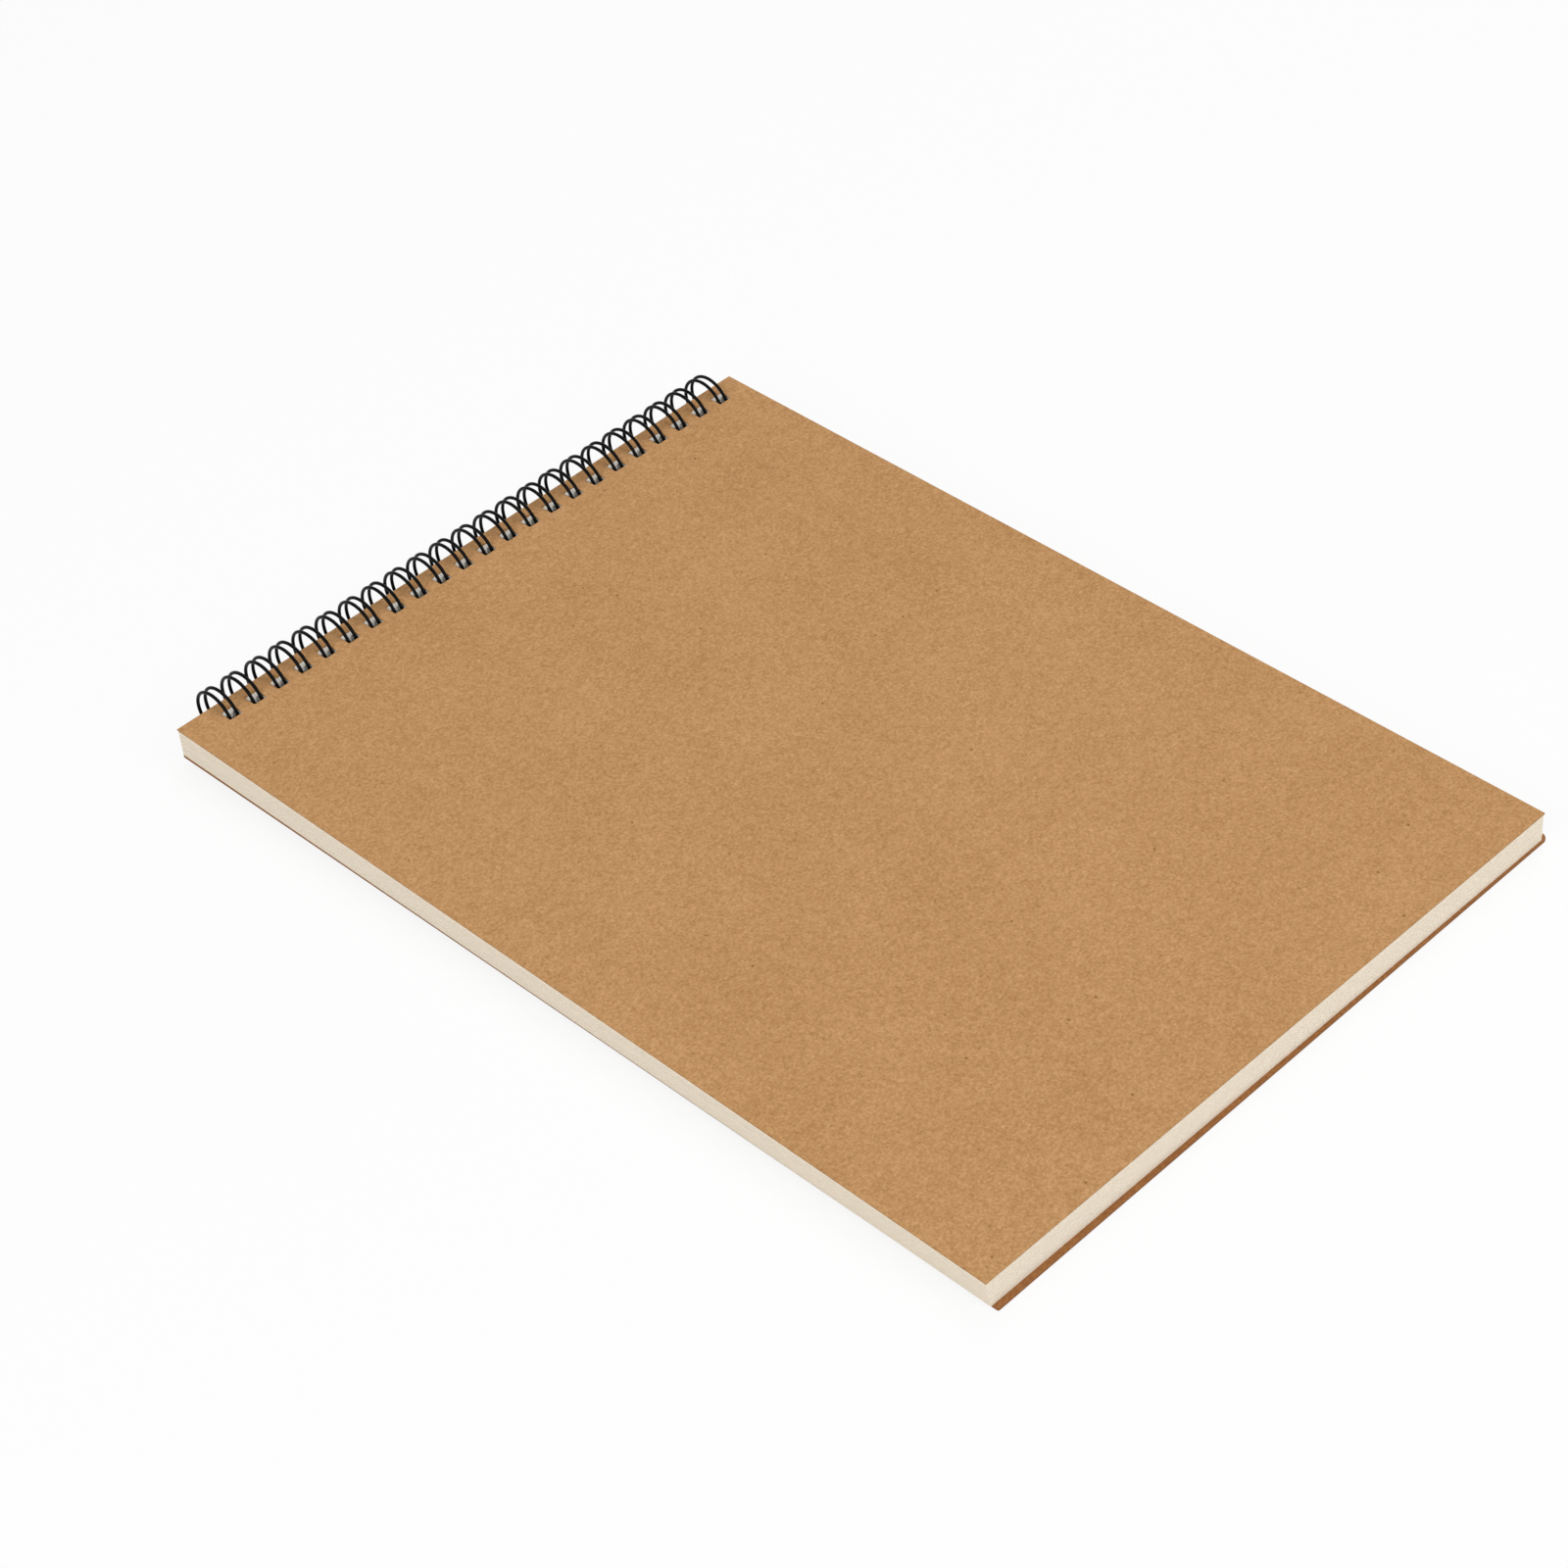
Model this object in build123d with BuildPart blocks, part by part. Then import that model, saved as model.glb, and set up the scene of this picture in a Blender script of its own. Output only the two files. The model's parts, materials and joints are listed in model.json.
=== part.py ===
from build123d import *
import os
from math import cos, degrees, pi, radians, sin, sqrt

# A4 sketchbook, bound along its short top edge by one black twin-loop wire. Millimetres.
# +X runs along the bound edge, +Y points to the binding and +Z up. The book lies closed,
# front cover up. The origin is under the middle of the whole book, level with the lowest
# point of the wire.

# Covers and pages
cover_width = 210.0
cover_length = 297.0
front_cover_thickness = 0.4
back_cover_thickness = 0.8
back_cover_overhang = 1.5  # how far the back cover shows past the front one at the fore edge
back_corner_radius = 2.0
page_setback = 0.3  # the pages stop this far inside the front cover's three free edges
leaf_thickness = 0.15
leaves_per_bundle = 5
bundle_count = 12

# Binding
loop_pitch = 25.4 / 3
loop_margin = 9.0  # the least distance from a side edge to the middle of the end loop
row_shift = 2.35  # the row of loops and holes lies this far off the middle, towards +X
loop_gap = 2.55  # between the middles of the two wires of one loop
loop_lift = 0.9  # the loops' middle stands this far above the middle of the closed stack
wire_diameter = 1.0
edge_strip = 3.9  # the strip of paper left between the bound edge and the holes
spine_gap = 0.1  # from the bound edge to the line that every sheet turns about
hole_clearance = 0.1  # before and behind the wires, across the bound edge
hole_side_clearance = 0.3  # beside the wires, along the bound edge
seam_clearance = 0.7  # between a loop's tip and the root that it closes against
seam_angle = 270.0  # where the closed seam lies, counted from the pages over the top
loop_steps = 12  # each loop is bent in this many equal steps
wire_sides = 6

# The stack, and how deep it lies below the loops' middle
bundle_thickness = leaves_per_bundle * leaf_thickness
block_thickness = bundle_count * bundle_thickness
stack_thickness = back_cover_thickness + block_thickness + front_cover_thickness
stack_depth = stack_thickness / 2 + loop_lift
page_width = cover_width - 2 * page_setback
page_length = cover_length - page_setback

# The wire: a prism with the area of the round section, its flats facing the loop's middle
side_angle = pi / wire_sides
wire_corner = wire_diameter / 2 * sqrt(pi / (wire_sides * sin(side_angle) * cos(side_angle)))
wire_flat = wire_corner * cos(side_angle)

# The loops: just wide enough to pass round the lowest sheet behind its edge strip
hole_near = spine_gap + edge_strip
clear_radius = sqrt((hole_near + hole_clearance) ** 2 + stack_depth**2)
loop_radius = (clear_radius + wire_flat) / cos(pi / loop_steps)
outer_radius = loop_radius + wire_corner
hole_far = outer_radius + hole_clearance
hole_depth = hole_far - hole_near
hole_width = loop_gap + 2 * wire_corner + 2 * hole_side_clearance
loop_count = int((cover_width - 2 * (loop_margin + row_shift)) / loop_pitch) + 1

# The half turns at a loop's tip and between two roots, each bent in three steps
bend_angle = radians(60)
tip_radius = loop_gap / 2
root_radius = (loop_pitch - loop_gap) / 2
tip_reach = degrees(tip_radius * sin(bend_angle) / loop_radius)
root_reach = degrees(root_radius * sin(bend_angle) / loop_radius)
seam_opening = tip_reach + degrees((2 * wire_corner + seam_clearance) / loop_radius)
root_turn = seam_angle + seam_opening / 2
loop_sweep = 360.0 - seam_opening

# Places
book_depth = back_cover_overhang + cover_length + spine_gap + outer_radius
axis_y = book_depth / 2 - outer_radius
axis_z = outer_radius
bound_edge_y = axis_y - spine_gap
hole_row_y = axis_y - (hole_near + hole_far) / 2
stack_bottom = axis_z - stack_depth
block_bottom = stack_bottom + back_cover_thickness


def punched_sheet(width, length, bottom, thickness, corner_radius=0.0):
    """A sheet or bundle with its bound edge in line with the others and a hole for each loop."""
    with BuildPart() as sheet:
        with BuildSketch(Plane.XY.offset(bottom)) as outline:
            with Locations((0, bound_edge_y)):
                Rectangle(width, length, align=(Align.CENTER, Align.MAX))
            if corner_radius:
                fillet(outline.vertices().group_by(Axis.Y)[0], corner_radius)
            with Locations((row_shift, hole_row_y)):
                with GridLocations(loop_pitch, hole_depth, loop_count, 1):
                    Rectangle(hole_width, hole_depth, mode=Mode.SUBTRACT)
        extrude(amount=thickness)
    return sheet


def on_loop(x, turn):
    """The point at an angle round a loop, from the pages' side over the top, in degrees."""
    angle = radians(turn)
    return (x, axis_y - loop_radius * cos(angle), axis_z + loop_radius * sin(angle))


def half_turn(x, turn, radius):
    """The two inner corners of a half turn that bulges out to an angle, with X growing."""
    side = radius * cos(bend_angle)
    return [on_loop(x - side, turn), on_loop(x + side, turn)]


def twin_loop_route():
    """One wire: up a loop, round its tip and back down, then across to the next loop's root."""
    turns = [root_turn + step * loop_sweep / loop_steps for step in range(loop_steps + 1)]
    route = []
    for loop in range(loop_count):
        x = row_shift + (loop - (loop_count - 1) / 2) * loop_pitch
        route += [on_loop(x - tip_radius, turn) for turn in turns]
        route += half_turn(x, turns[-1] + tip_reach, tip_radius)
        route += [on_loop(x + tip_radius, turn) for turn in reversed(turns)]
        if loop < loop_count - 1:
            route += half_turn(x + loop_pitch / 2, root_turn - root_reach, root_radius)
    return [Vector(point) for point in route]


def save(piece, name):
    piece.part.label = name
    export_step(piece.part, f"parts/{name}.step")


os.makedirs("parts", exist_ok=True)

# Back cover: stiff kraft board, a little longer than the rest
back_cover = punched_sheet(
    cover_width,
    cover_length + back_cover_overhang,
    stack_bottom,
    back_cover_thickness,
    back_corner_radius,
)
save(back_cover, "back_cover")

# Pages, in bundles numbered from the front cover down
for number in range(1, bundle_count + 1):
    bundle_bottom = block_bottom + (bundle_count - number) * bundle_thickness
    page_bundle = punched_sheet(page_width, page_length, bundle_bottom, bundle_thickness)
    save(page_bundle, f"page_bundle_{number:02d}")

# Front cover: thin kraft card
front_cover = punched_sheet(
    cover_width, cover_length, block_bottom + block_thickness, front_cover_thickness
)
save(front_cover, "front_cover")

# Twin-loop wire, squeezed shut into a row of rings
with BuildPart() as twin_loop_wire:
    with BuildLine():
        route = twin_loop_route()
        Polyline(*route)
    with BuildSketch(Plane(origin=route[0], x_dir=(1, 0, 0), z_dir=route[1] - route[0])):
        RegularPolygon(wire_corner, wire_sides)
    sweep(transition=Transition.RIGHT)
save(twin_loop_wire, "twin_loop_wire")
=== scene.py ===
import json
import math

import bpy
from bpy.props import FloatProperty, FloatVectorProperty, IntProperty, PointerProperty
from mathutils import Matrix, Vector


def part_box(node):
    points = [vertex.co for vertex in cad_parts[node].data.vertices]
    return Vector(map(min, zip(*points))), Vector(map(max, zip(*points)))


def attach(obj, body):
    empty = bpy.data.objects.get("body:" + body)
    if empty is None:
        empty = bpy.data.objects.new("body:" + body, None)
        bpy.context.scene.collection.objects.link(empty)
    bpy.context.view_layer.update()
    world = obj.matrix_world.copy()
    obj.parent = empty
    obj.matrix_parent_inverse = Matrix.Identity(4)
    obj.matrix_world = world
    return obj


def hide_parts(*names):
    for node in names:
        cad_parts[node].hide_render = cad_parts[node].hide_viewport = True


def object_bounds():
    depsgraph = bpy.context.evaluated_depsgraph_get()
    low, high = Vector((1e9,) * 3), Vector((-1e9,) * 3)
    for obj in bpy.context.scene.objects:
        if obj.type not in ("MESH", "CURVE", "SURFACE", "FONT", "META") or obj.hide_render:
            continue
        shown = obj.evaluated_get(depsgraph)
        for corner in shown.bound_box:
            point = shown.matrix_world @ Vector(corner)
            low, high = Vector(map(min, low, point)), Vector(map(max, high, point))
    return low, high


bl_info = {
    "name": "Wire-bound Sketchbook",
    "version": (1, 0, 0),
    "blender": (4, 5, 0),
    "location": "View3D > Sidebar > Sketchbook",
    "description": "Finishes a packed sketchbook: kraft covers, loose leaves and a twin-loop wire",
    "category": "Object",
}

MM = 0.001
SAME_PLACE = 0.01 * MM  # places nearer to each other than this are one
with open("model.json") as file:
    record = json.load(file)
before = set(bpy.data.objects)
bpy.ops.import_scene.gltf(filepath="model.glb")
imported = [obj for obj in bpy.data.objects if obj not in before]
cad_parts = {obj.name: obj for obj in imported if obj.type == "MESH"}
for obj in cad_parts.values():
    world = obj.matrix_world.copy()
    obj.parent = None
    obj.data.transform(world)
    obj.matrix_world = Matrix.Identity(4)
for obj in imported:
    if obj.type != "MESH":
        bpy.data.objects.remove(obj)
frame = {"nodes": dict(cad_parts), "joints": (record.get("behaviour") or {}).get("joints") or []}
cad_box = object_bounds()

FRONT = "front_cover"
BACK = "back_cover"
WIRE = "twin_loop_wire"
BUNDLES = sorted(name for name in frame["nodes"] if name.startswith("page_bundle_"))


# ---------------------------------------------------------------- what the frame says


def levels(values):
    """The distinct places among many, lowest first."""
    kept = []
    for value in sorted(values):
        if not kept or value - kept[-1] > SAME_PLACE:
            kept.append(value)
    return kept


def punched_row():
    """Where the holes are, read from the front cover's own corners, in metres."""
    corners = [v.co for v in frame["nodes"][FRONT].data.vertices]
    fore, hole_fore, hole_bound, bound = levels(c.y for c in corners)
    sides = levels(c.x for c in corners)[1:-1]
    middles = [(low + high) / 2 for low, high in zip(sides[::2], sides[1::2])]
    return {
        "count": len(middles),
        "first": middles[0],
        "pitch": (middles[-1] - middles[0]) / (len(middles) - 1),
        "width": sides[1] - sides[0],
        "fore_y": hole_fore,
        "bound_y": hole_bound,
        "edge_y": bound,
    }


def wire_axis():
    """The line through the middle of the rings: its Y and Z, in metres."""
    for joint in frame["joints"]:
        if joint["child"] == WIRE:
            return joint["pos_m"][1], joint["pos_m"][2]
    raise RuntimeError("the frame has no joint for the wire")


ROW = punched_row()
AXIS_Y, AXIS_Z = wire_axis()


# ---------------------------------------------------------------- settings


def length(name, description, default):
    """A length property, in metres."""
    return FloatProperty(
        name=name, description=description, default=default, subtype="DISTANCE", unit="LENGTH",
        precision=5,
    )


def turn(name, description, degrees):
    """An angle property, with its default in degrees."""
    return FloatProperty(
        name=name, description=description, default=math.radians(degrees), subtype="ANGLE",
        unit="ROTATION",
    )


def share(name, description, default, top=1.0):
    """A plain number property that starts at 0."""
    return FloatProperty(
        name=name, description=description, default=default, min=0.0, max=top, subtype="FACTOR"
    )


def tint(name, description, red, green, blue):
    """A colour property from its sRGB bytes."""
    return FloatVectorProperty(
        name=name, description=description, default=(from_byte(red), from_byte(green), from_byte(blue)),
        size=3, min=0.0, max=1.0, subtype="COLOR",
    )


def from_byte(byte):
    """The linear value of one sRGB byte."""
    value = byte / 255
    return value / 12.92 if value <= 0.04045 else ((value + 0.055) / 1.055) ** 2.4


class PaperSettings(bpy.types.PropertyGroup):
    """Sizes and colours of the covers and the leaves."""

    hole_corner: length("Hole corner", "Radius in the corners of the punched holes", 0.45 * MM)
    cover_softness: length("Cover softness", "Width of the cut edge that wear has rounded", 0.09 * MM)
    board_corner: length("Board corner", "Radius of the back cover's right fore corner", 2 * MM)
    sharp_corner: length("Sharp corner", "Radius of the back cover's left fore corner", 0.5 * MM)
    board_aside: length("Board aside", "How far the back cover has slid along the rings", 0.25 * MM)
    leaves: IntProperty(name="Leaves", description="Loose leaves in one bundle", default=5, min=1)
    leaf_gap: length("Leaf gap", "Air between two leaves that lie on each other", 0.014 * MM)
    leaf_drift: length(
        "Leaf drift", "How far a leaf may stray sideways; twice that to the fore edge", 0.05 * MM
    )
    leaf_twist: turn("Leaf twist", "How far a leaf may be turned in the stack", 0.02)
    leaf_cut: length("Leaf cut", "Cut off aslant at the lowest leaves' left fore corner", 1.1 * MM)
    hole_start: length("Hole start", "Greatest distance from the hinge line to the leaves' holes", 5.6 * MM)
    hole_room: length("Hole room", "Air between the rings and the start of a leaf's hole", 0.45 * MM)
    back_lean: turn("Back lean", "How far the back cover lies turned under the front cover", 0.35)
    card_light: tint("Card light", "Palest grain of the front cover", 221, 173, 121)
    card_deep: tint("Card deep", "Darkest grain of the front cover", 148, 100, 49)
    # Partly painted shade: the back cover's board is browner than the front card, and its browns are darker
    # still to stand in for the shade the page block casts on its fore strip
    shaded_board_light: tint("Board light", "Palest grain of the back cover", 188, 132, 80)
    shaded_board_deep: tint("Board deep", "Darkest grain of the back cover", 121, 71, 31)
    # The holes take this face colour, whiter than the cut edges: painted light in the holes
    paper: tint("Paper", "Colour of the leaves' faces and of their holes", 252, 249, 241)
    paper_edge: tint("Paper edge", "Colour of the leaves' outer edges", 239, 225, 204)


class WireSettings(bpy.types.PropertyGroup):
    """Sizes and finish of the twin-loop wire."""

    thickness: length("Thickness", "Diameter of the coated wire", 1 * MM)
    gap: length("Gap", "From middle to middle of the two wires of one loop", 2.55 * MM)
    slack: length("Slack", "Air between a ring and the holes that it passes through", 0.04 * MM)
    seam_width: length("Seam", "What a loop's tip leaves free in front of its root", 1.65 * MM)
    seam_turn: turn("Seam place", "Where the seam lies, from the pages over the top", 270)
    unevenness: length("Unevenness", "Width of the band a ring may stray in", 0.16 * MM)
    step: length("Step", "Length of the pieces that the wire's mesh is cut into", 0.5 * MM)
    sides: IntProperty(name="Sides", description="Faces round the wire", default=12, min=6)
    coat: tint("Coat", "Colour of the wire's coating", 3, 3, 4)
    roughness: share("Roughness", "Roughness of the coating", 0.18)


class StageSettings(bpy.types.PropertyGroup):
    """Camera, lamps and floor."""

    lens: FloatProperty(name="Lens", description="Focal length", default=89.51, unit="CAMERA")
    sky: share("Sky", "Strength of the light from all round", 0.4, top=4.0)
    floor: tint("Floor", "Colour of the floor", 246, 246, 246)


# ---------------------------------------------------------------- node trees in words

MIDDLE = 0.5  # a noise runs from 0 to 1
SOFT_STEPS = 2  # across a softened edge
SOFT_ANGLE = math.radians(50)  # edges that turn by more than this are softened


def put(name, data):
    """A new object in the scene, at the origin."""
    obj = bpy.data.objects.new(name, data)
    bpy.context.scene.collection.objects.link(obj)
    return obj


class Tree:
    """A short way to write a node tree: a call adds one node, with its settings and inputs."""

    def __init__(self, tree):
        self.tree = tree

    def node(self, kind, settings=None, **inputs):
        """Adds a node. Inputs are named as on the node, with _ for a blank, or iN for number N."""
        node = self.tree.nodes.new(kind)
        for name, value in (settings or {}).items():
            setattr(node, name, value)
        for name, value in inputs.items():
            self.feed(self.socket(node, name), value)
        return node

    def add(self, kind, out=None, settings=None, **inputs):
        """Adds a node and returns its output of a given name, or else its first one in use."""
        outputs = self.node(kind, settings, **inputs).outputs
        return next(output for output in outputs if output.enabled and out in (None, output.name))

    @staticmethod
    def socket(node, name):
        """An input in use, by its name or its number."""
        if name[0] == "i" and name[1:].isdigit():
            return node.inputs[int(name[1:])]
        wanted = name.replace("_", " ").lower()
        for candidate in node.inputs:
            if candidate.enabled and candidate.name.lower() == wanted:
                return candidate
        raise RuntimeError(f"{node.bl_idname} has no input {name}")

    def feed(self, socket, value):
        """Links an output or a list of them to an input, or sets the input to a plain value."""
        if isinstance(value, list):
            for one in value:
                self.tree.links.new(one, socket)
        elif isinstance(value, bpy.types.NodeSocket):
            self.tree.links.new(value, socket)
        else:
            socket.default_value = value

    def maths(self, operation, first, second=0.0, third=0.0, clamp=False):
        """One piece of arithmetic on up to three values."""
        settings = {"operation": operation, "use_clamp": clamp}
        return self.add("ShaderNodeMath", settings=settings, i0=first, i1=second, i2=third)

    def minus(self, first, second):
        """One vector less another."""
        settings = {"operation": "SUBTRACT"}
        return self.add("ShaderNodeVectorMath", settings=settings, i0=first, i1=second)

    def vector(self, x=0.0, y=0.0, z=0.0):
        """A vector from its X, Y and Z."""
        return self.add("ShaderNodeCombineXYZ", X=x, Y=y, Z=z)

    def split(self, vector):
        """The X, Y and Z of a vector."""
        return tuple(self.node("ShaderNodeSeparateXYZ", Vector=vector).outputs)


class Shape(Tree):
    """A Geometry Nodes group with named inputs, a mesh output and one material."""

    def __init__(self, name):
        super().__init__(bpy.data.node_groups.new(name, "GeometryNodeTree"))
        self.tree.interface.new_socket("Mesh", in_out="OUTPUT", socket_type="NodeSocketGeometry")
        self.inputs = self.tree.nodes.new("NodeGroupInput")
        self.outputs = self.tree.nodes.new("NodeGroupOutput")

    def ask(self, *names, kind="Float"):
        """Named inputs of the group, all of one kind, in a dictionary."""
        for name in names:
            self.tree.interface.new_socket(name, in_out="INPUT", socket_type=f"NodeSocket{kind}")
        return {name: self.inputs.outputs[name] for name in names}

    def finish(self, geometry):
        """Ends the tree as plain geometry with its material."""
        material = self.ask("Material", kind="Material")["Material"]
        real = self.add("GeometryNodeRealizeInstances", Geometry=geometry)
        painted = self.add("GeometryNodeSetMaterial", Geometry=real, Material=material)
        self.feed(self.outputs.inputs["Mesh"], painted)
        return self.tree

    @staticmethod
    def build(name, tree, values, softness=0.0):
        """Runs a group once with its inputs set, and returns the result as a plain mesh object."""
        seed = put(name + "_seed", bpy.data.meshes.new(name + "_seed"))
        modifier = seed.modifiers.new("shape", "NODES")
        modifier.node_group = tree
        for item in tree.interface.items_tree:
            if item.in_out == "INPUT":
                modifier[item.identifier] = values[item.name]
        if softness:
            rounding = seed.modifiers.new("softness", "BEVEL")
            rounding.width = softness
            rounding.segments = SOFT_STEPS
            rounding.use_clamp_overlap = False
            rounding.limit_method = "ANGLE"
            rounding.angle_limit = SOFT_ANGLE
        graph = bpy.context.evaluated_depsgraph_get()
        mesh = bpy.data.meshes.new_from_object(seed.evaluated_get(graph))
        bpy.data.objects.remove(seed)
        mesh.name = name
        return put(name, mesh)


# ---------------------------------------------------------------- sheets

CUT_EDGE = "cut_edge"  # 1 on a sheet's outer edges, 0 on its faces and in its holes; the holes' walls so keep the face colour, which in the leaves is painted light, whiter than their cut edges
CORNER_STEPS = 6  # straight pieces in a sheet's rounded corner
HOLE_CORNER_STEPS = 3
EDGE_ROOM = 0.1 * MM  # how far off a hole's edge a face still belongs to the hole
WELD = 0.001 * MM  # corners nearer than this become one
TWIST_SEED = 100.0  # added to the seed, so that twists and places are drawn apart


def sheet_outline(shape, asked):
    """One sheet's outline, with rounded fore corners. The left one may be cut off aslant."""
    depth = asked["Length"]
    outline = shape.add(
        "GeometryNodeCurvePrimitiveQuadrilateral", Width=asked["Width"], Height=depth
    )
    place = shape.vector(y=shape.maths("MULTIPLY_ADD", depth, -0.5, asked["Bound edge"]))
    outline = shape.add("GeometryNodeTransform", Geometry=outline, Translation=place)
    x, y, _ = shape.split(shape.add("GeometryNodeInputPosition"))
    is_left = shape.maths("LESS_THAN", x, 0.0)
    is_fore = shape.maths("LESS_THAN", y, 0.0)
    outline = shape.add(
        "GeometryNodeSetPosition", Geometry=outline, Offset=shape.vector(asked["Left cut"]),
        Selection=shape.maths("MULTIPLY", is_left, is_fore),
    )
    less = shape.maths("SUBTRACT", asked["Left fore corner"], asked["Fore corner"])
    rounding = shape.maths("MULTIPLY_ADD", is_left, less, asked["Fore corner"])
    return shape.add(
        "GeometryNodeFilletCurve", settings={"mode": "POLY"}, Curve=outline, Count=CORNER_STEPS,
        Radius=shape.maths("MULTIPLY", is_fore, rounding),
    )


def hole_outlines(shape, asked, depth, row_y):
    """The outlines of a row of square holes with rounded corners."""
    hole = shape.add(
        "GeometryNodeCurvePrimitiveQuadrilateral", Width=asked["Hole width"], Height=depth
    )
    hole = shape.add(
        "GeometryNodeFilletCurve", settings={"mode": "POLY"}, Curve=hole, Count=HOLE_CORNER_STEPS,
        Radius=asked["Hole corner"],
    )
    row = shape.add(
        "GeometryNodeMeshLine", Count=asked["Hole count"], Offset=shape.vector(asked["Hole pitch"]),
        Start_Location=shape.vector(asked["First hole"], row_y),
    )
    holes = shape.add("GeometryNodeInstanceOnPoints", Points=row, Instance=hole)
    return shape.add("GeometryNodeRealizeInstances", Geometry=holes)


def cut_sheet(shape, asked, outlines, depth, row_y):
    """A sheet with its thickness, whose outer edges are marked for the finish."""
    both = shape.add("GeometryNodeJoinGeometry", Geometry=outlines)
    face = shape.add("GeometryNodeFillCurve", Curve=both)
    raised = shape.node(
        "GeometryNodeExtrudeMesh", Mesh=face, Offset=shape.vector(z=1.0),
        Offset_Scale=asked["Thickness"], Individual=False,
    )
    x, y, _ = shape.split(shape.add("GeometryNodeInputPosition"))
    reach = shape.maths("MULTIPLY_ADD", depth, 0.5, EDGE_ROOM)
    in_row = shape.maths("COMPARE", y, row_y, reach)
    half_width = shape.maths("MULTIPLY_ADD", asked["Width"], 0.5, -EDGE_ROOM)
    inside = shape.maths("LESS_THAN", shape.maths("ABSOLUTE", x), half_width)
    in_hole = shape.maths("MULTIPLY", in_row, inside)
    # Painted light: the holes' walls are left out of the cut edges, so the leaves' hole walls take the
    # whiter face colour
    outer = shape.maths("SUBTRACT", raised.outputs["Side"], in_hole, clamp=True)
    marked = shape.add(
        "GeometryNodeStoreNamedAttribute", settings={"data_type": "FLOAT", "domain": "FACE"},
        Geometry=raised.outputs["Mesh"], Name=CUT_EDGE, Value=outer,
    )
    underside = shape.add("GeometryNodeFlipFaces", Mesh=face)
    sheet = shape.add("GeometryNodeJoinGeometry", Geometry=[marked, underside])
    return shape.add("GeometryNodeMergeByDistance", Geometry=sheet, Distance=WELD)


def laid_sheets(shape, asked, sheet):
    """Copies of a sheet that lie on each other, each a little astray and turned."""
    stack = shape.add(
        "GeometryNodeMeshLine", Count=asked["Sheets"], Offset=shape.vector(z=asked["Rise"]),
        Start_Location=shape.vector(x=asked["Aside"], z=asked["Bottom"]),
    )
    # A sheet strays towards the fore edge only, so that an opened book's two halves stay apart
    drift = asked["Drift"]
    least = shape.vector(shape.maths("MULTIPLY", drift, -1.0), shape.maths("MULTIPLY", drift, -2.0))
    astray = shape.add(
        "FunctionNodeRandomValue", settings={"data_type": "FLOAT_VECTOR"}, Seed=asked["Seed"],
        Min=least, Max=shape.vector(drift),
    )
    stack = shape.add("GeometryNodeSetPosition", Geometry=stack, Offset=astray)
    twist = shape.add(
        "FunctionNodeRandomValue", settings={"data_type": "FLOAT"}, Min=0.0, Max=asked["Twist"],
        Seed=shape.maths("ADD", asked["Seed"], TWIST_SEED),
    )
    turned = shape.maths("ADD", twist, asked["Lean"])
    sheets = shape.add(
        "GeometryNodeInstanceOnPoints", Points=stack, Instance=sheet, Rotation=shape.vector(z=turned)
    )

    # Each sheet is turned about the end hole at which the wire holds it
    pivot = shape.vector(asked["Pivot"], asked["Hole bound edge"])
    swung = shape.add(
        "ShaderNodeVectorRotate", settings={"rotation_type": "Z_AXIS"}, Vector=pivot, Angle=turned
    )
    return shape.add(
        "GeometryNodeTranslateInstances", Instances=sheets, Translation=shape.minus(pivot, swung),
        Local_Space=False,
    )


def punched_sheets_tree():
    """Sheets with one row of square punched holes, lying on each other with a little disorder."""
    shape = Shape("Punched sheets")
    asked = shape.ask(
        "Width", "Length", "Thickness", "Bound edge", "Bottom", "Fore corner", "Left fore corner",
        "Left cut", "Aside", "Hole width", "Hole fore edge", "Hole bound edge", "Hole corner",
        "Hole pitch", "First hole", "Rise", "Drift", "Twist", "Lean", "Pivot",
    )
    asked |= shape.ask("Hole count", "Sheets", "Seed", kind="Int")
    depth = shape.maths("SUBTRACT", asked["Hole bound edge"], asked["Hole fore edge"])
    row_y = shape.maths("MULTIPLY_ADD", depth, 0.5, asked["Hole fore edge"])
    outlines = [sheet_outline(shape, asked), hole_outlines(shape, asked, depth, row_y)]
    sheet = cut_sheet(shape, asked, outlines, depth, row_y)
    return shape.finish(laid_sheets(shape, asked, sheet))


# ---------------------------------------------------------------- wire

LOOP_CORNERS = 4.0  # two at a loop's roots and two at its tip, before they are rounded
MIDDLE_CORNER = (LOOP_CORNERS - 1) / 2
STRAY_ACROSS = 160.0  # the noise that bends the rings: its lumps to the metre along the row
STRAY_ALONG = 45.0  # and along the wire
STRAY_SEED = 3.7


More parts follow.
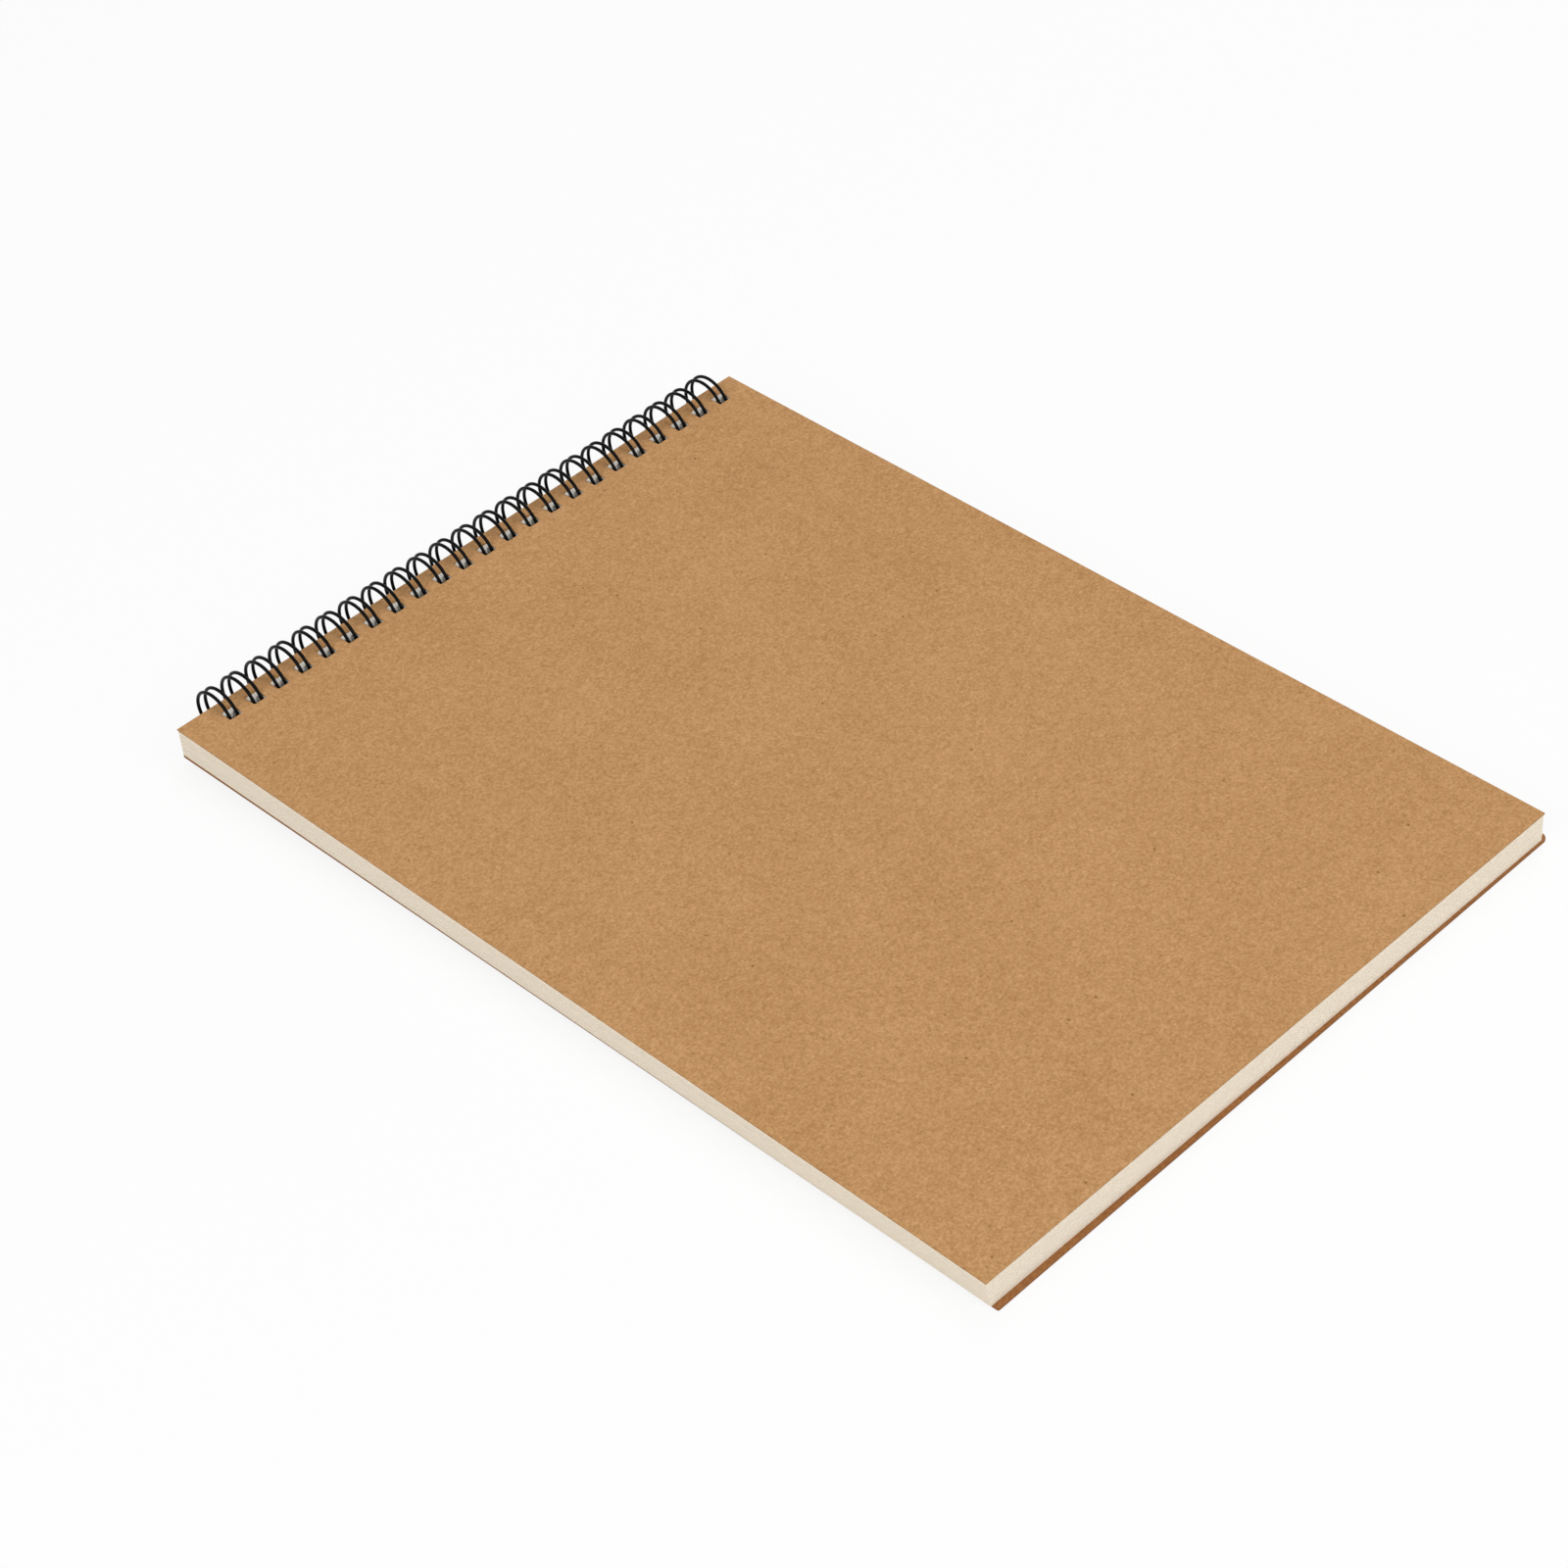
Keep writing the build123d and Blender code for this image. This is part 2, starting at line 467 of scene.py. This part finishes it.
def flat_comb(shape, asked):
    """The wire bent into narrow loops, with X along the row and Y from the roots to the tips."""
    pitch, gap = asked["Pitch"], asked["Gap"]
    root_radius = shape.maths("MULTIPLY", shape.maths("SUBTRACT", pitch, gap), 0.5)
    tip_radius = shape.maths("MULTIPLY", gap, 0.5)
    count = shape.maths("MULTIPLY", asked["Loops"], LOOP_CORNERS)
    corners = shape.add("GeometryNodeMeshLine", Count=count)
    index = shape.add("GeometryNodeInputIndex")
    loop = shape.maths("FLOOR", shape.maths("DIVIDE", index, LOOP_CORNERS))
    corner = shape.maths("SUBTRACT", index, shape.maths("MULTIPLY", loop, LOOP_CORNERS))
    is_right = shape.maths("GREATER_THAN", corner, MIDDLE_CORNER)
    side = shape.maths("MULTIPLY_ADD", is_right, 2.0, -1.0)
    x = shape.maths("MULTIPLY_ADD", loop, pitch, asked["First loop"])
    x = shape.maths("MULTIPLY_ADD", side, tip_radius, x)
    from_middle = shape.maths("ABSOLUTE", shape.maths("SUBTRACT", corner, MIDDLE_CORNER))
    is_tip = shape.maths("LESS_THAN", from_middle, 1.0)
    tip_y = shape.maths("ADD", asked["Comb length"], tip_radius)
    root_y = shape.maths("MULTIPLY", root_radius, -1.0)
    span = shape.maths("SUBTRACT", tip_y, root_y)
    y = shape.maths("MULTIPLY_ADD", is_tip, span, root_y)
    comb = shape.add("GeometryNodeSetPosition", Geometry=corners, Position=shape.vector(x, y))
    comb = shape.add("GeometryNodeMeshToCurve", Mesh=comb)
    bend = shape.maths("SUBTRACT", tip_radius, root_radius)
    comb = shape.add(
        "GeometryNodeFilletCurve", settings={"mode": "BEZIER"}, Curve=comb, Limit_Radius=True,
        Radius=shape.maths("MULTIPLY_ADD", is_tip, bend, root_radius),
    )
    comb = shape.add(
        "GeometryNodeResampleCurve", settings={"mode": "LENGTH"}, Curve=comb, Length=asked["Step"]
    )
    whole = shape.add("GeometryNodeCurveLength", Curve=comb)
    return shape.add(
        "GeometryNodeTrimCurve", settings={"mode": "LENGTH"}, Curve=comb, Start=root_radius,
        End=shape.maths("SUBTRACT", whole, root_radius),
    )


def rolled_comb(shape, asked, comb):
    """The comb rolled into rings: a length along it is an angle round the ring."""
    flat_x, flat_y, _ = shape.split(shape.add("GeometryNodeInputPosition"))
    angle = shape.maths("DIVIDE", flat_y, asked["Ring radius"])
    angle = shape.maths("ADD", angle, asked["Root turn"])
    place = shape.vector(
        shape.maths("MULTIPLY", flat_x, STRAY_ACROSS),
        shape.maths("MULTIPLY", flat_y, STRAY_ALONG),
        asked["Seed"],
    )
    stray = shape.add(
        "ShaderNodeTexNoise", out="Color", settings={"noise_dimensions": "3D"}, Vector=place,
        Scale=1.0, Detail=1.0,
    )
    aside, outward, _ = shape.split(shape.minus(stray, (MIDDLE, MIDDLE, MIDDLE)))
    aside = shape.maths("MULTIPLY", aside, asked["Unevenness"])
    outward = shape.maths("MULTIPLY", outward, shape.maths("MULTIPLY", asked["Unevenness"], 0.5))
    reach = shape.maths("ADD", asked["Ring radius"], outward)
    ring_y = shape.maths("MULTIPLY", shape.maths("COSINE", angle), reach)
    ring_z = shape.maths("MULTIPLY", shape.maths("SINE", angle), reach)
    rolled = shape.vector(
        shape.maths("ADD", flat_x, aside),
        shape.maths("SUBTRACT", asked["Axis Y"], ring_y),
        shape.maths("ADD", asked["Axis Z"], ring_z),
    )
    return shape.add("GeometryNodeSetPosition", Geometry=comb, Position=rolled)


def twin_loop_tree():
    """One wire, bent flat into a comb of narrow loops and then rolled into a row of rings."""
    shape = Shape("Twin loop")
    asked = shape.ask(
        "First loop", "Pitch", "Gap", "Ring radius", "Comb length", "Root turn", "Axis Y", "Axis Z",
        "Thickness", "Step", "Unevenness", "Seed",
    )
    asked |= shape.ask("Loops", "Sides", kind="Int")
    rings = rolled_comb(shape, asked, flat_comb(shape, asked))
    section = shape.add(
        "GeometryNodeCurvePrimitiveCircle", Resolution=asked["Sides"],
        Radius=shape.maths("MULTIPLY", asked["Thickness"], 0.5),
    )
    wire = shape.add(
        "GeometryNodeCurveToMesh", Curve=rings, Profile_Curve=section, Fill_Caps=True
    )
    return shape.finish(shape.add("GeometryNodeSetShadeSmooth", Geometry=wire, Shade_Smooth=True))


# ---------------------------------------------------------------- finishes

WHITE = (1.0, 1.0, 1.0, 1.0)

# Dark flecks in some cells of a pattern: how rare, how wide and how dark each kind is
FLECK_CELLS = 210.0  # to the metre
FLECKS = (
    {"rarer_than": 0.76, "rim": 0.085, "core": 0.045, "strength": 0.6, "shade": 0.55},
    {"rarer_than": 0.81, "rim": 0.12, "core": 0.06, "strength": 0.5, "shade": 0.65},
)
CUT_CARD_PAINTED_SHADE = 0.78  # painted shade: how dark a cover's cut edges are against its faces, for the shadow along them
STREAKS_ALONG = 14.0  # soft streaks to the metre, along a leaf's edge
STREAKS_ACROSS = 2600.0  # and through the stack
FLOOR_GLOW = 0.86  # how much of the floor shows white by itself


class Finish(Tree):
    """A material made of one Principled shader and nodes that read the piece's own coordinates."""

    def __init__(self, name, **constants):
        self.material = bpy.data.materials.new(name)
        self.material.use_nodes = True
        super().__init__(self.material.node_tree)
        self.shader = self.tree.nodes["Principled BSDF"]
        for socket, value in constants.items():
            self.feed(self.socket(self.shader, socket), value)
        self.place = self.add("ShaderNodeTexCoord", out="Object")

    def noise(self, scale, detail, roughness, place=None):
        """Cloudy noise with a number of lumps to the metre."""
        return self.add(
            "ShaderNodeTexNoise", Vector=place or self.place, Scale=scale, Detail=detail,
            Roughness=roughness,
        )

    def swing(self, value, amount):
        """A noise value moved to swing about zero and scaled."""
        return self.maths("MULTIPLY_ADD", value, amount, -MIDDLE * amount)

    def band(self, value, zero_at, one_at):
        """0 at one value and beyond, 1 at the other and beyond, and smooth between them."""
        return self.add(
            "ShaderNodeMapRange", settings={"interpolation_type": "SMOOTHSTEP"}, Value=value,
            From_Min=zero_at, From_Max=one_at,
        )

    def mix(self, factor, first, second):
        """One colour at factor 0 and another at 1."""
        return self.add(
            "ShaderNodeMix", settings={"data_type": "RGBA"}, Factor=factor, A=first, B=second
        )

    def stained(self, base, where, strength, colour):
        """A base with another colour over it where a mask is 1, as strong as given."""
        return self.mix(self.maths("MULTIPLY", where, strength), base, colour)

    def scaled(self, colour, factor):
        """A colour made lighter or darker by a factor."""
        return self.add(
            "ShaderNodeVectorMath", settings={"operation": "SCALE"}, Vector=colour, Scale=factor
        )

    def cut_edge(self):
        """1 on the outer edges of a sheet."""
        return self.add("ShaderNodeAttribute", out="Fac", settings={"attribute_name": CUT_EDGE})

    def paint(self, colour):
        """Gives the shader its colour."""
        self.feed(self.shader.inputs["Base Color"], colour)

    def bump(self, height, depth, strength):
        """Fine relief that a height from 0 to 1 makes, as deep as given."""
        normal = self.add("ShaderNodeBump", Height=height, Distance=depth, Strength=strength)
        self.feed(self.shader.inputs["Normal"], normal)


def opaque(colour, factor=1.0):
    """A colour property as four numbers, lighter or darker by a factor."""
    return (*(min(1.0, channel * factor) for channel in colour), 1.0)


def fibres(finish):
    """Where short fibres lie: along the middle line of one noise, in the lumps of another."""
    ridge = finish.noise(scale=330, detail=2, roughness=0.6)
    ridge = finish.maths("ABSOLUTE", finish.maths("SUBTRACT", ridge, MIDDLE))
    thin = finish.band(ridge, zero_at=0.012, one_at=0.003)
    lumps = finish.noise(scale=520, detail=1, roughness=0.5)
    short = finish.band(lumps, zero_at=0.60, one_at=0.66)
    return finish.maths("MULTIPLY", thin, short)


def kraft_finish(name, light, deep):
    """Unbleached card: finely grained between two browns, with fibres and a few dark flecks."""
    finish = Finish(name, Roughness=0.86, Specular_IOR_Level=0.25)
    clouds = finish.swing(finish.noise(scale=38, detail=3, roughness=0.5), amount=0.20)
    mottle = finish.swing(finish.noise(scale=420, detail=3, roughness=0.6), amount=0.34)
    grain = finish.swing(finish.noise(scale=1300, detail=4, roughness=0.7), amount=1.42)
    tone = finish.maths("ADD", finish.maths("ADD", clouds, mottle), grain)
    tone = finish.maths("ADD", tone, MIDDLE, clamp=True)
    card = finish.mix(tone, opaque(deep), opaque(light))

    card = finish.stained(card, fibres(finish), strength=0.5, colour=opaque(deep, factor=0.7))
    lumps = finish.noise(scale=700, detail=2, roughness=0.6)
    pale = finish.band(lumps, zero_at=0.66, one_at=0.74)
    card = finish.stained(card, pale, strength=0.35, colour=opaque(light, factor=1.15))

    cells = finish.node("ShaderNodeTexVoronoi", Vector=finish.place, Scale=FLECK_CELLS)
    for fleck in FLECKS:
        chosen = finish.maths("GREATER_THAN", cells.outputs["Color"], fleck["rarer_than"])
        spot = finish.band(cells.outputs["Distance"], zero_at=fleck["rim"], one_at=fleck["core"])
        where = finish.maths("MULTIPLY", chosen, spot)
        card = finish.stained(card, where, fleck["strength"], opaque(deep, fleck["shade"]))

    # Painted shade: the cut edges are darkened to stand in for the shadow that lies along them
    edge = finish.scaled(card, CUT_CARD_PAINTED_SHADE)
    finish.paint(finish.mix(finish.cut_edge(), card, edge))
    tooth = finish.noise(scale=1500, detail=4, roughness=0.7)
    finish.bump(tooth, depth=0.03 * MM, strength=0.35)
    return finish.material


def paper_finish(name, face, edge, leaf_rise):
    """Drawing paper: a fine tooth on its faces, and edges that show the separate leaves."""
    finish = Finish(name, Roughness=0.9, Specular_IOR_Level=0.2)
    tooth = finish.noise(scale=2400, detail=3, roughness=0.6)
    x, y, z = finish.split(finish.place)
    leaf = finish.maths("FLOOR", finish.maths("DIVIDE", z, leaf_rise))
    own = finish.add("ShaderNodeTexWhiteNoise", settings={"noise_dimensions": "1D"}, W=leaf)
    drawn_out = finish.vector(
        finish.maths("MULTIPLY", x, STREAKS_ALONG),
        finish.maths("MULTIPLY", y, STREAKS_ALONG),
        finish.maths("MULTIPLY", z, STREAKS_ACROSS),
    )
    streak = finish.noise(scale=1.0, detail=2, roughness=0.5, place=drawn_out)
    lines = finish.maths("ADD", finish.swing(own, amount=0.05), finish.swing(streak, amount=0.07))
    lines = finish.maths("MULTIPLY", lines, finish.cut_edge())
    tone = finish.maths("ADD", finish.swing(tooth, amount=0.05), lines)
    tone = finish.maths("ADD", tone, 1.0)
    # Faces and the walls of the holes take the face colour; in the holes that whiter colour is painted
    # light
    sheet = finish.mix(finish.cut_edge(), opaque(face), opaque(edge))
    finish.paint(finish.scaled(sheet, tone))
    finish.bump(tooth, depth=0.02 * MM, strength=0.3)
    return finish.material


def wire_finish(name, colour, roughness):
    """Steel wire in a black plastic coat."""
    finish = Finish(name, Base_Color=opaque(colour), Specular_IOR_Level=0.06)
    worn = finish.swing(finish.noise(scale=900, detail=3, roughness=0.6), amount=0.16)
    finish.feed(finish.shader.inputs["Roughness"], finish.maths("ADD", worn, roughness))
    skin = finish.noise(scale=2600, detail=2, roughness=0.5)
    finish.bump(skin, depth=0.01 * MM, strength=0.25)
    return finish.material


def seen_directly(tree):
    """1 for what the camera sees, straight or in gloss or through glass, and 0 for other light."""
    path = tree.node("ShaderNodeLightPath").outputs
    seen = tree.maths("ADD", path["Is Camera Ray"], path["Is Glossy Ray"])
    return tree.maths("ADD", seen, path["Is Transmission Ray"], clamp=True)


def floor_finish(name, colour):
    """A pale floor that shows nearly white and keeps a soft shadow."""
    finish = Finish(name, Base_Color=opaque(colour), Roughness=1.0, Specular_IOR_Level=0.0)
    glow = finish.add("ShaderNodeEmission", Color=WHITE, Strength=1.0)
    shown = finish.maths("MULTIPLY", seen_directly(finish), FLOOR_GLOW)
    mixed = finish.add("ShaderNodeMixShader", i0=shown, i1=finish.shader.outputs[0], i2=glow)
    finish.feed(finish.tree.nodes["Material Output"].inputs["Surface"], mixed)
    return finish.material


# ---------------------------------------------------------------- pieces


def sheet_values(node, paper, **changes):
    """The punched-sheet inputs that fit one CAD node's box and the row of holes."""
    low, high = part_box(node)
    values = {
        "Width": high.x - low.x,
        "Length": high.y - low.y,
        "Thickness": high.z - low.z,
        "Bound edge": ROW["edge_y"],
        "Bottom": low.z,
        "Fore corner": 0.0,
        "Left fore corner": 0.0,
        "Left cut": 0.0,
        "Aside": 0.0,
        "Hole width": ROW["width"],
        "Hole fore edge": ROW["fore_y"],
        "Hole bound edge": ROW["bound_y"],
        "Hole corner": paper.hole_corner,
        "Hole count": ROW["count"],
        "Hole pitch": ROW["pitch"],
        "First hole": ROW["first"],
        "Sheets": 1,
        "Rise": 0.0,
        "Drift": 0.0,
        "Twist": 0.0,
        "Lean": 0.0,
        "Pivot": ROW["first"],
        "Seed": 0,
    }
    values.update(changes)
    return values


def ring_radius(wire):
    """The rings pass just behind the strip that the lowest sheet has between holes and edge."""
    strip = math.hypot(AXIS_Y - ROW["bound_y"], AXIS_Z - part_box(BACK)[0].z)
    return strip + wire.thickness / 2 + wire.slack


def cover_hole_end(wire):
    """The covers' holes end as far out as the widest part of the rings."""
    return AXIS_Y - ring_radius(wire) - wire.thickness / 2 - wire.slack


def leaf_hole_start(paper, wire, node):
    """A bundle's holes start close behind the rings, where these pass through the bundle."""
    low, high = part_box(node)
    clear = ring_radius(wire) - wire.thickness / 2 - paper.hole_room
    reach = max(abs(low.z - AXIS_Z), abs(high.z - AXIS_Z))
    return AXIS_Y - min(math.sqrt(clear**2 - reach**2), paper.hole_start)


def seat(piece, node):
    """A finished piece takes a CAD node's place and moves with its body."""
    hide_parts(node)
    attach(piece, node)


def make_cover(context, node, name, slot, card, **shape):
    """Makes a cover of its card, with what sets its shape apart, in place of its CAD node."""
    paper = context.scene.sketchbook_paper
    shape["Hole fore edge"] = cover_hole_end(context.scene.sketchbook_wire)
    values = sheet_values(node, paper, Material=card, **shape)
    piece = Shape.build(name, punched_sheets_tree(), values, paper.cover_softness)
    seat(piece, node)


class SKETCHBOOK_OT_front_cover(bpy.types.Operator):
    """Makes the thin kraft front cover"""

    bl_idname = "sketchbook.front_cover"
    bl_label = "Front cover"

    def execute(self, context):
        paper = context.scene.sketchbook_paper
        card = kraft_finish("Kraft card", paper.card_light, paper.card_deep)
        make_cover(context, FRONT, "kraft_front", "front_kraft", card)
        return {"FINISHED"}


class SKETCHBOOK_OT_back_cover(bpy.types.Operator):
    """Makes the stiff kraft back cover"""

    bl_idname = "sketchbook.back_cover"
    bl_label = "Back cover"

    def execute(self, context):
        paper = context.scene.sketchbook_paper
        # The board's browns hold painted shade of the page block on top of the board's own darker colour
        board = kraft_finish("Kraft board", paper.shaded_board_light, paper.shaded_board_deep)
        shape = {
            "Fore corner": paper.board_corner,
            "Left fore corner": paper.sharp_corner,
            "Aside": paper.board_aside,
            "Lean": paper.back_lean,
        }
        make_cover(context, BACK, "kraft_back", "back_kraft", board, **shape)
        return {"FINISHED"}


class SKETCHBOOK_OT_leaves(bpy.types.Operator):
    """Makes the loose leaves, bundle by bundle"""

    bl_idname = "sketchbook.leaves"
    bl_label = "Leaves"

    def execute(self, context):
        paper = context.scene.sketchbook_paper
        wire = context.scene.sketchbook_wire
        tree = punched_sheets_tree()
        low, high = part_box(BUNDLES[0])
        rise = (high.z - low.z) / paper.leaves
        last_hole = ROW["first"] + (ROW["count"] - 1) * ROW["pitch"]
        finish = paper_finish("Drawing paper", paper.paper, paper.paper_edge, rise)
        for number, node in enumerate(BUNDLES, 1):
            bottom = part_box(node)[0].z + paper.leaf_gap / 2
            stack = {
                "Material": finish, "Thickness": rise - paper.leaf_gap, "Sheets": paper.leaves,
                "Rise": rise, "Drift": paper.leaf_drift, "Twist": paper.leaf_twist, "Seed": number,
                "Bottom": bottom, "Pivot": last_hole,
                "Left cut": paper.leaf_cut * number / len(BUNDLES),
                "Hole bound edge": leaf_hole_start(paper, wire, node),
            }
            values = sheet_values(node, paper, **stack)
            piece = Shape.build(f"leaves_{number:02d}", tree, values)
            seat(piece, node)
        return {"FINISHED"}


class SKETCHBOOK_OT_wire(bpy.types.Operator):
    """Makes the twin-loop wire as one comb rolled into rings"""

    bl_idname = "sketchbook.wire"
    bl_label = "Twin-loop wire"

    def execute(self, context):
        wire = context.scene.sketchbook_wire
        radius = ring_radius(wire)
        tip_radius = wire.gap / 2
        seam = (wire.seam_width + tip_radius) / radius
        values = {
            "Loops": ROW["count"],
            "First loop": ROW["first"],
            "Pitch": ROW["pitch"],
            "Gap": wire.gap,
            "Ring radius": radius,
            "Comb length": (2 * math.pi - seam) * radius,
            "Root turn": wire.seam_turn + seam / 2,
            "Axis Y": AXIS_Y,
            "Axis Z": AXIS_Z,
            "Thickness": wire.thickness,
            "Sides": wire.sides,
            "Step": wire.step,
            "Unevenness": wire.unevenness,
            "Seed": STRAY_SEED,
            "Material": wire_finish("Coated wire", wire.coat, wire.roughness),
        }
        piece = Shape.build("twin_loop_rings", twin_loop_tree(), values)
        seat(piece, WIRE)
        return {"FINISHED"}


# ---------------------------------------------------------------- stage

FLOOR_HALF = 6.0  # from the middle of the floor to each of its sides, in metres
# Square soft boxes: their side and place in metres and their power in watts
LAMPS = {
    "key": {"size": 1.1, "power": 8.5, "place": (0.75, 0.5, 1.5)},
    "front": {"size": 0.9, "power": 9.6, "place": (0.2, -1.3, 1.1)},
    "left": {"size": 0.9, "power": 7.9, "place": (-1.3, -0.2, 0.9)},
}
SENSOR_WIDTH = 36.0  # millimetres
NEAREST, FARTHEST = 0.01, 50.0  # what the camera can see, in metres
CAMERA_OFFSET = Vector((-0.4165, -0.71135, 0.67655))  # from the cover's corner by the first ring
CAMERA_AZIMUTH = math.radians(-41.69)
CAMERA_ELEVATION = math.radians(41.54)
CAMERA_ROLL = math.radians(-5.2)


def aim(azimuth, elevation, roll):
    """A rotation that looks along +Y at azimuth 0, down by the elevation, turned about the view."""
    upright = Matrix.Rotation(azimuth, 4, "Z") @ Matrix.Rotation(math.pi / 2 - elevation, 4, "X")
    return upright @ Matrix.Rotation(roll, 4, "Z")


def make_lamp(name, size, power, place, target):
    """A square soft box that points at a target."""
    data = bpy.data.lights.new(name, "AREA")
    data.shape = "SQUARE"
    data.size = size
    data.energy = power
    lamp = put(name, data)
    lamp.location = place
    lamp.rotation_euler = (target - Vector(place)).to_track_quat("-Z", "Y").to_euler()


def floor_height(wire, y):
    """The book lies on its rings and on the back cover's fore edge, so the floor slopes a little."""
    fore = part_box(BACK)[0]
    reach = ring_radius(wire) + wire.thickness / 2
    slope = (reach - (AXIS_Z - fore.z)) / (AXIS_Y - fore.y)
    return fore.z - slope * (y - fore.y)


def make_floor(wire, colour):
    """One wide square that the book lies on."""
    corners = ((-1, -1), (1, -1), (1, 1), (-1, 1))
    places = [(x * FLOOR_HALF, y * FLOOR_HALF) for x, y in corners]
    mesh = bpy.data.meshes.new("floor")
    mesh.from_pydata([(x, y, floor_height(wire, y)) for x, y in places], [], [(0, 1, 2, 3)])
    mesh.materials.append(floor_finish("Pale floor", colour))
    put("floor", mesh)


def make_sky(strength):
    """White light from all round, which shows as plain white behind the floor."""
    world = bpy.data.worlds.new("Soft room")
    world.use_nodes = True
    sky = Tree(world.node_tree)
    shown = sky.maths("MULTIPLY_ADD", seen_directly(sky), 1.0 - strength, strength)
    background = world.node_tree.nodes["Background"]
    sky.feed(background.inputs["Color"], WHITE)
    sky.feed(background.inputs["Strength"], shown)
    return world


def make_camera(lens):
    """The camera, placed from the corner where the front cover's left and bound edges meet."""
    data = bpy.data.cameras.new("camera")
    data.sensor_width = SENSOR_WIDTH
    data.lens = lens
    data.clip_start = NEAREST
    data.clip_end = FARTHEST
    camera = put("camera", data)
    corner = Vector((cad_box[0].x, ROW["edge_y"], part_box(FRONT)[1].z))
    place = Matrix.Translation(corner + CAMERA_OFFSET)
    camera.matrix_world = place @ aim(CAMERA_AZIMUTH, CAMERA_ELEVATION, CAMERA_ROLL)
    return camera


class SKETCHBOOK_OT_stage(bpy.types.Operator):
    """Sets up the floor, the soft light and the camera"""

    bl_idname = "sketchbook.stage"
    bl_label = "Stage"

    def execute(self, context):
        stage = context.scene.sketchbook_stage
        low, high = cad_box
        make_floor(context.scene.sketchbook_wire, stage.floor)
        context.scene.world = make_sky(stage.sky)
        for name, values in LAMPS.items():
            make_lamp(name, target=(low + high) / 2, **values)
        context.scene.camera = make_camera(stage.lens)
        context.scene.view_settings.view_transform = "Standard"
        return {"FINISHED"}


# ---------------------------------------------------------------- panel and run


class SKETCHBOOK_PT_panel(bpy.types.Panel):
    """The pieces of the sketchbook and what can be set on them"""

    bl_label = "Sketchbook"
    bl_idname = "SKETCHBOOK_PT_panel"
    bl_space_type = "VIEW_3D"
    bl_region_type = "UI"
    bl_category = "Sketchbook"

    def draw(self, context):
        layout = self.layout
        groups = (
            (context.scene.sketchbook_paper, PaperSettings, PAPER_STEPS),
            (context.scene.sketchbook_wire, WireSettings, WIRE_STEPS),
            (context.scene.sketchbook_stage, StageSettings, STAGE_STEPS),
        )
        for settings, kind, steps in groups:
            box = layout.box()
            for name in kind.__annotations__:
                box.prop(settings, name)
            for step in steps:
                box.operator(step.bl_idname)


PAPER_STEPS = (SKETCHBOOK_OT_back_cover, SKETCHBOOK_OT_leaves, SKETCHBOOK_OT_front_cover)
WIRE_STEPS = (SKETCHBOOK_OT_wire,)
STAGE_STEPS = (SKETCHBOOK_OT_stage,)
SETTINGS = {
    "sketchbook_paper": PaperSettings,
    "sketchbook_wire": WireSettings,
    "sketchbook_stage": StageSettings,
}
CLASSES = (*SETTINGS.values(), *PAPER_STEPS, *WIRE_STEPS, *STAGE_STEPS, SKETCHBOOK_PT_panel)


def register():
    for kind in CLASSES:
        bpy.utils.register_class(kind)
    for name, kind in SETTINGS.items():
        setattr(bpy.types.Scene, name, PointerProperty(type=kind))


def unregister():
    for name in SETTINGS:
        delattr(bpy.types.Scene, name)
    for kind in reversed(CLASSES):
        bpy.utils.unregister_class(kind)


def main():
    register()
    bpy.ops.sketchbook.back_cover()
    bpy.ops.sketchbook.leaves()
    bpy.ops.sketchbook.front_cover()
    bpy.ops.sketchbook.wire()
    bpy.ops.sketchbook.stage()


if __name__ == "__main__":
    main()
